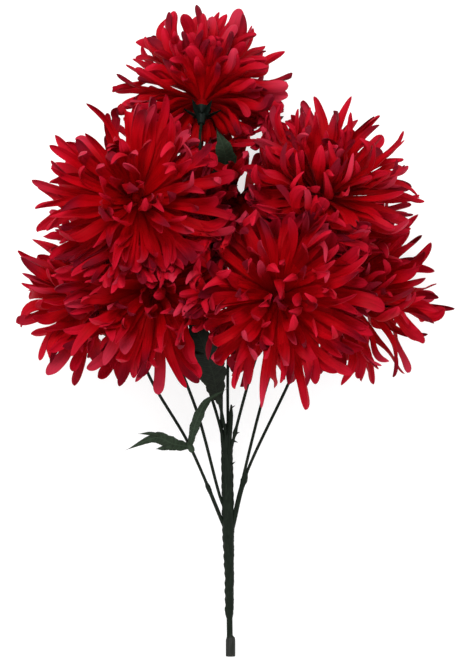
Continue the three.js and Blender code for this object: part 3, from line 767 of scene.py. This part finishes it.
def sepal_shell(head, number):
    """A pointed green blade that stands out from the calyx, under the petals."""
    angle = 2 * math.pi * number / SEPALS["count"]
    out = head["across"] * math.cos(angle) + head["along"] * math.sin(angle)
    side = np.cross(head["axis"], out)
    share = np.linspace(0, 1, SEPALS["stations"])[:, None, None, None]
    across = PETAL_ACROSS[None, None, :, None]
    slope = math.radians(SEPALS["rise"])
    reach = SEPALS["from_radius"] + SEPALS["length"] * share * math.cos(slope)
    height = SEPALS["from_height"] + SEPALS["length"] * share * math.sin(slope)
    half = SEPALS["width"] / 2 * (1 - share ** 2) + SEPALS["tip"] / 2
    face = np.array([1, -1])[None, :, None, None] * SEPALS["thickness"] / 2
    lift = height + face - SEPALS["fold"] * half * np.abs(across)
    blade = head["base"] + out * reach + side * half * across + head["axis"] * lift
    return blade, blade_quads(SEPALS["stations"], len(PETAL_ACROSS)), np.zeros(3)


def make_calyx(head, material):
    cup = turned_shell(CALYX_PROFILE, head, CALYX_SIDES, SEPALS["count"], CALYX_RIDGE)
    sepals = [sepal_shell(head, number) for number in range(SEPALS["count"])]
    name = head["name"]
    add_piece(f"sepals_{name}", [cup, *sepals], "part", material, f"calyx_{name}")


# -------------------------------- stem

def handle_shell():
    """The moulded foot, the grip with its spiral of tape, and the bundle of rods above it."""
    ends = np.array([place for place, _ in HANDLE], float)
    along = np.append(np.arange(0, ends[-1, 1], HANDLE_STEP), ends[-1, 1])
    places = np.stack([np.interp(along, ends[:, 1], ends[:, axis]) for axis in range(3)], axis=1)
    radius = np.interp(along, ends[:, 1], [radius for _, radius in HANDLE])
    angles = side_angles(HANDLE_SIDES)[None]
    along = along[:, None]
    wrapped = along > TAPE["start"]
    taped = wrapped * (1 - smoothstep(TAPE["end"] - TAPE["fade"], TAPE["end"], along))
    tape = TAPE["edge"] * ((along / TAPE["pitch"] + angles / (2 * math.pi)) % 1 - 0.5)
    bundled = smoothstep(RODS["start"], RODS["start"] + RODS["fade"], along)
    rods = np.abs(np.cos(RODS["count"] / 2 * angles + along * RODS["twist"])) - RODS["groove"]
    lumps = sum(lump["depth"] * np.sin(along * lump["along"] + lump["around"] * angles) for lump in LUMPS)
    radii = radius[:, None] + taped * tape + bundled * RODS["depth"] * rods + lumps * wrapped
    points, faces, _ = tube_shell(places, radii)
    points[..., 2] = np.maximum(points[..., 2], 0)
    values = np.zeros(points.shape)
    values[..., 0] = along < FOOT_END
    return points, faces, values


def branch_shell(name, curve):
    """A branch, with the knobs and the short sleeve that it has."""
    pieces = math.ceil(curve.length / BRANCH_STEP)
    places = curve.spaced(pieces)
    radius = np.full(pieces + 1, BRANCH_RADIUS)
    for knob in KNOBS:
        if knob["branch"] == name:
            off = np.linalg.norm(places - np.array(knob["near"]), axis=1)
            off = np.sqrt(np.maximum(off ** 2 - off.min() ** 2, 0))
            radius = radius + knob["swell"] * np.exp(-((off / knob["reach"]) ** 2))
    along = np.linspace(0, curve.length, pieces + 1)
    for sleeve in BRANCH_SLEEVES:
        if sleeve["branch"] == name:
            covered = 1 - smoothstep(sleeve["end"] - BRANCH_SLEEVE_FADE, sleeve["end"], along)
            radius = radius + (sleeve["radius"] - BRANCH_RADIUS) * covered
    return round_tube_shell(places, radius, BRANCH_SIDES)


def stub_shell():
    places = SmoothCurve(STUB["route"]).spaced(STUB["pieces"])
    share = np.linspace(0, 1, STUB["pieces"] + 1)
    radius = np.interp(share, np.linspace(0, 1, len(STUB["radii"])), STUB["radii"])
    return round_tube_shell(places, radius, BRANCH_SIDES)


def spur_shell(spur):
    share = np.linspace(0, 1, SPUR_STATIONS)
    start, end = np.array(spur["start"]), np.array(spur["end"])
    places = start * (1 - share[:, None]) + end * share[:, None]
    return round_tube_shell(places, spur["radius"] * (1 + SPUR_TIP - share), SPUR_SIDES)


def make_stem(material):
    shells = [handle_shell(), *(branch_shell(name, curve) for name, curve in branches.items())]
    shells += [stub_shell(), *(spur_shell(spur) for spur in SPURS)]
    add_piece("stem_rods", shells, "part", material, "stem")


# -------------------------------- leaves

def lobe_shell(lobe, leaf, number):
    """A toothed blade, folded along its spine and a little wavy towards its edges."""
    curve = spine_curve(lobe, leaf, branches)
    teeth = math.ceil(curve.length / LEAF_STATION / 2 * min(lobe["width"] / LEAF_SLIM, 1))
    share = np.linspace(0, 1, teeth * STATIONS_PER_TOOTH + 1)
    middle = np.array([curve.point(place) for place in share])
    forward = unit(np.gradient(middle, axis=0))
    side = np.array(lobe["side"], float)
    across = unit(side - forward * (forward @ side)[:, None])
    up = np.cross(forward, across)
    phase = share * teeth % 1
    tooth = np.where(phase < TOOTH_LEAN, phase / TOOTH_LEAN, (1 - phase) / (1 - TOOTH_LEAN))
    swell = np.sin(math.pi * (LEAF_SWELL["start"] + LEAF_SWELL["over"] * share))
    fine = FINE_TEETH["depth"] * (phase * FINE_TEETH["per_tooth"] % 1 - 0.5)
    half = lobe["width"] / 2 * swell * (1 - LEAF_TOOTH + 2 * LEAF_TOOTH * tooth + fine)
    half = np.maximum(half * (1 - share ** LEAF_TIP_POWER), LEAF_NARROWEST)[:, None]
    wave = np.sin(share * LEAF_WAVE["turns"] + number)[:, None] * LOBE_ACROSS ** 2
    lift = LEAF_WAVE["depth"] * lobe["width"] * wave - LEAF_FOLD * half * np.abs(LOBE_ACROSS)
    sideways = across[:, None] * (half * LOBE_ACROSS)[..., None]
    sheet = middle[:, None] + sideways + up[:, None] * lift[..., None]
    skin = LEAF_THICKNESS / 2 * (1 - LEAF_EDGE_THINNING * LOBE_ACROSS ** 2)[None, :, None] * up[:, None]
    blade = np.stack([sheet + skin, sheet - skin], axis=1)
    values = np.zeros(blade.shape)
    values[..., 0] = half[:, None] * LOBE_ACROSS / PATTERN_UNIT
    values[..., 1] = (share * curve.length / PATTERN_UNIT)[:, None, None]
    values[..., 2] = number + 1
    return blade, blade_quads(len(share), len(LOBE_ACROSS)), values


def make_leaf(leaf, material):
    place, direction = seat_of(leaf, branches)
    along = np.linspace(-0.5, 0.5, SLEEVE_STATIONS)
    radius = SLEEVE_RADIUS * (1 - SLEEVE_ROUNDING * (2 * along) ** 4)
    places = place + direction * SLEEVE_LENGTH * along[:, None]
    sleeve = round_tube_shell(places, radius, SLEEVE_SIDES)
    lobes = [lobe_shell(lobe, leaf, number) for number, lobe in enumerate(leaf["lobes"])]
    name = leaf["name"]
    add_piece(f"foliage_{name}", [sleeve, *lobes], "leaf", material, f"leaf_{name}")


# -------------------------------- materials

class Material:
    """A principled material, with short ways to add and link nodes."""

    def __init__(self, name, roughness, specular=0.5):
        self.material = bpy.data.materials.new(name)
        self.material.use_nodes = True
        self.tree = self.material.node_tree
        self.shader = self.tree.nodes["Principled BSDF"]
        self.shader.inputs["Roughness"].default_value = roughness
        self.shader.inputs["Specular IOR Level"].default_value = specular

    def put(self, socket, value):
        """Sets a socket to a number or colour, or links another node's output to it."""
        if isinstance(value, bpy.types.NodeSocket):
            self.tree.links.new(value, socket)
        elif isinstance(value, tuple) and len(socket.default_value) == 4:
            socket.default_value = (*value, 1)
        else:
            socket.default_value = value

    def node(self, kind, **inputs):
        node = self.tree.nodes.new(f"ShaderNode{kind}")
        for name, value in inputs.items():
            self.put(node.inputs[name.replace("_", " ")], value)
        return node

    def math(self, operation, one, other=0.0):
        node = self.node("Math")
        node.operation = operation
        self.put(node.inputs[0], one)
        self.put(node.inputs[1], other)
        return node.outputs[0]

    def times(self, one, other):
        return self.math("MULTIPLY", one, other)

    def attribute(self, name):
        """The three parts of a vector that the mesh keeps for each point."""
        source = self.node("Attribute")
        source.attribute_name = name
        return self.node("SeparateXYZ", Vector=source.outputs["Vector"]).outputs

    def ramp(self, value, stops):
        node = self.node("ValToRGB", Fac=value)
        elements = node.color_ramp.elements
        while len(elements) < len(stops):
            elements.new(0.5)
        for element, (place, colour) in zip(elements, stops):
            element.position = place
            element.color = (*colour, 1)
        return node.outputs["Color"]

    def between(self, value, low, high):
        """0 below the low end, 1 above the high end, and smooth between."""
        node = self.node("MapRange", Value=value, From_Min=low, From_Max=high)
        node.interpolation_type = "SMOOTHSTEP"
        return node.outputs["Result"]

    def mix(self, factor, one, other, blend="MIX"):
        node = self.node("Mix")
        node.data_type = "RGBA"
        node.blend_type = blend
        for number, value in ((0, factor), (6, one), (7, other)):
            self.put(node.inputs[number], value)
        return node.outputs[2]

    def noise(self, vector, scale, detail=2.0):
        return self.node("TexNoise", Vector=vector, Scale=scale, Detail=detail).outputs["Fac"]

    def vector(self, x, y, z):
        return self.node("CombineXYZ", X=x, Y=y, Z=z).outputs[0]

    def stretched(self, values, factors):
        return self.vector(*(self.times(value, factor) for value, factor in zip(values, factors)))

    def bump(self, height, strength, distance):
        node = self.node("Bump", Strength=strength, Distance=distance, Height=height)
        self.put(self.shader.inputs["Normal"], node.outputs[0])

    def colour(self, value):
        self.put(self.shader.inputs["Base Color"], value)


def petal_material():
    """Satin fabric, dyed deep red, with plum tips on some petals, paler pink tips on others as painted
    highlight, a little painted pink highlight on every tip, and fine lengthwise pleats.
    """
    m = Material("petal_fabric", roughness=0.55, specular=0.04)
    m.put(m.shader.inputs["Sheen Weight"], 0.02)
    m.put(m.shader.inputs["Sheen Roughness"], 0.35)
    m.put(m.shader.inputs["Sheen Tint"], PETAL_SHEEN)
    across, along, seed = m.attribute("petal")
    place = (across, along, seed)

    # Red along the petal, with painted pink highlight at the tip, times each petal's own tone.
    body = m.mix(1.0, m.ramp(along, PETAL_REDS_AND_TIP_HIGHLIGHT), m.ramp(seed, PETAL_OWN_SHADES), "MULTIPLY")
    streaks = m.noise(m.stretched(place, STREAK_STRETCH), scale=2.2, detail=3.0)
    body = m.mix(1.0, body, m.ramp(streaks, PETAL_STREAKS), "MULTIPLY")

    tone = m.math("FRACT", m.times(seed, TIPS["seed"]))
    outward = m.between(along, *TIPS["over"])
    plum = m.times(m.math("GREATER_THAN", tone, PLUM_TIPS["above"]), outward)
    body = m.mix(m.times(plum, PLUM_TIPS["strength"]), body, PLUM_TIPS["colour"])
    # Paler pink on the tips of some petals: painted highlight.
    pale = m.times(m.math("LESS_THAN", tone, PAINTED_HIGHLIGHT_TIPS["below"]), outward)
    m.colour(m.mix(m.times(pale, PAINTED_HIGHLIGHT_TIPS["strength"]), body, PAINTED_HIGHLIGHT_TIPS["colour"]))

    pleats = m.noise(m.stretched(place, PLEAT_STRETCH), scale=1.0, detail=1.0)
    m.bump(pleats, strength=0.35, distance=0.0006)
    through = m.node("BsdfTranslucent", Color=LIGHT_THROUGH["colour"])
    blend = m.node("MixShader", Fac=LIGHT_THROUGH["share"])
    m.put(blend.inputs[1], m.shader.outputs[0])
    m.put(blend.inputs[2], through.outputs[0])
    m.put(m.tree.nodes["Material Output"].inputs["Surface"], blend.outputs[0])
    return m.material


def plastic_material(name, green):
    """Moulded plastic with a dull, streaked skin, whose lighter streaks are partly painted highlight, and
    which is greyer on the stem's bare foot.
    """
    m = Material(name, roughness=0.5, specular=0.07)
    bare = m.attribute("part")[0]
    place = m.node("TexCoord").outputs["Object"]
    stretched = m.node("Mapping", Vector=place, Scale=(900, 90, 900)).outputs[0]
    streaks = m.noise(stretched, scale=1.0, detail=3.0)
    # The lighter streaks are partly painted highlight.
    m.colour(m.mix(1.0, m.mix(bare, green, BARE_PLASTIC), m.ramp(streaks, PLASTIC_STREAKS_AND_HIGHLIGHTS), "MULTIPLY"))
    dullness = m.node("MapRange", Value=streaks, To_Min=0.4, To_Max=0.65)
    m.put(m.shader.inputs["Roughness"], dullness.outputs[0])
    grain = m.noise(place, scale=1400.0, detail=2.0)
    m.bump(m.math("ADD", m.times(streaks, 0.6), m.times(grain, 0.4)), strength=0.5, distance=0.0004)
    return m.material


def leaf_material(name, dark, pale, vein):
    """Stiffened satin printed green, with pressed veins."""
    m = Material(name, roughness=0.55, specular=0.08)
    across, along, seed = m.attribute("leaf")
    away = m.math("ABSOLUTE", across)
    midrib = m.math("SUBTRACT", 1.0, m.between(away, *VEINS["midrib"]))
    slanting = m.math("SUBTRACT", m.times(along, VEINS["often"]), m.times(away, VEINS["slant"]))
    off_vein = m.math("ABSOLUTE", m.math("SUBTRACT", m.math("FRACT", slanting), 0.5))
    side_vein = m.math("SUBTRACT", 1.0, m.between(off_vein, *VEINS["side"]))
    veins = m.math("MAXIMUM", midrib, m.times(side_vein, VEINS["side_strength"]))

    place = m.vector(across, along, seed)
    printed = m.ramp(m.noise(place, scale=2.5, detail=3.0), [(0.3, dark), (0.7, pale)])
    m.colour(m.mix(m.times(veins, VEINS["strength"]), printed, vein))
    weave = m.noise(place, scale=60.0, detail=1.0)
    m.bump(m.math("SUBTRACT", m.times(weave, 0.25), veins), strength=0.6, distance=0.0005)
    return m.material


petal_fabric = petal_material()
stem_plastic = plastic_material("stem_plastic", STEM_GREEN)
calyx_plastic = plastic_material("calyx_plastic", CALYX_GREEN)
leaf_fabric = leaf_material("leaf_fabric", **LEAF_GREENS)
# A darker copy of the leaf fabric: painted shade for the centre leaf under the heads.
painted_shade_leaf_fabric = leaf_material("painted_shade_leaf_fabric", **PAINTED_SHADE_LEAF_GREENS)

for head in heads:
    make_bloom(head, petal_fabric)
    make_calyx(head, calyx_plastic)
for leaf in LEAVES:
    make_leaf(leaf, painted_shade_leaf_fabric if leaf["name"] in PAINTED_SHADE_LEAVES else leaf_fabric)
make_stem(stem_plastic)


# -------------------------------- floor and light

def make_floor():
    """A plain pale sheet that glows, so that it stays white between the heads too."""
    half = FLOOR["half"]
    mesh = bpy.data.meshes.new("floor")
    corners = [(-half, -half, 0), (half, -half, 0), (half, half, 0), (-half, half, 0)]
    mesh.from_pydata(corners, [], [(0, 1, 2, 3)])
    m = Material("floor", roughness=0.8)
    m.colour((FLOOR["shade"],) * 3)
    m.put(m.shader.inputs["Emission Color"], (1, 1, 1))
    m.put(m.shader.inputs["Emission Strength"], FLOOR["glow"])
    mesh.materials.append(m.material)
    floor = bpy.data.objects.new("floor", mesh)
    floor.location.z = -FLOOR["below"]
    bpy.context.scene.collection.objects.link(floor)


def make_light(name, place, target, size, power):
    """A soft round light at a place, turned to its target."""
    data = bpy.data.lights.new(name, "AREA")
    data.shape = "DISK"
    data.size = size
    data.energy = power
    light = bpy.data.objects.new(name, data)
    light.location = place
    direction = np.array(target) - np.array(place)
    yaw = math.atan2(direction[1], direction[0])
    pitch = math.atan2(math.hypot(direction[0], direction[1]), -direction[2])
    light.rotation_euler = (pitch, 0, yaw - math.pi / 2)
    bpy.context.scene.collection.objects.link(light)


def make_world():
    world = bpy.data.worlds.new("world")
    world.use_nodes = True
    background = world.node_tree.nodes["Background"]
    background.inputs["Color"].default_value = (1, 1, 1, 1)
    background.inputs["Strength"].default_value = WORLD_STRENGTH
    bpy.context.scene.world = world
    bpy.context.scene.view_settings.view_transform = "Standard"


make_floor()
make_light("key", **KEY_LIGHT)
make_world()
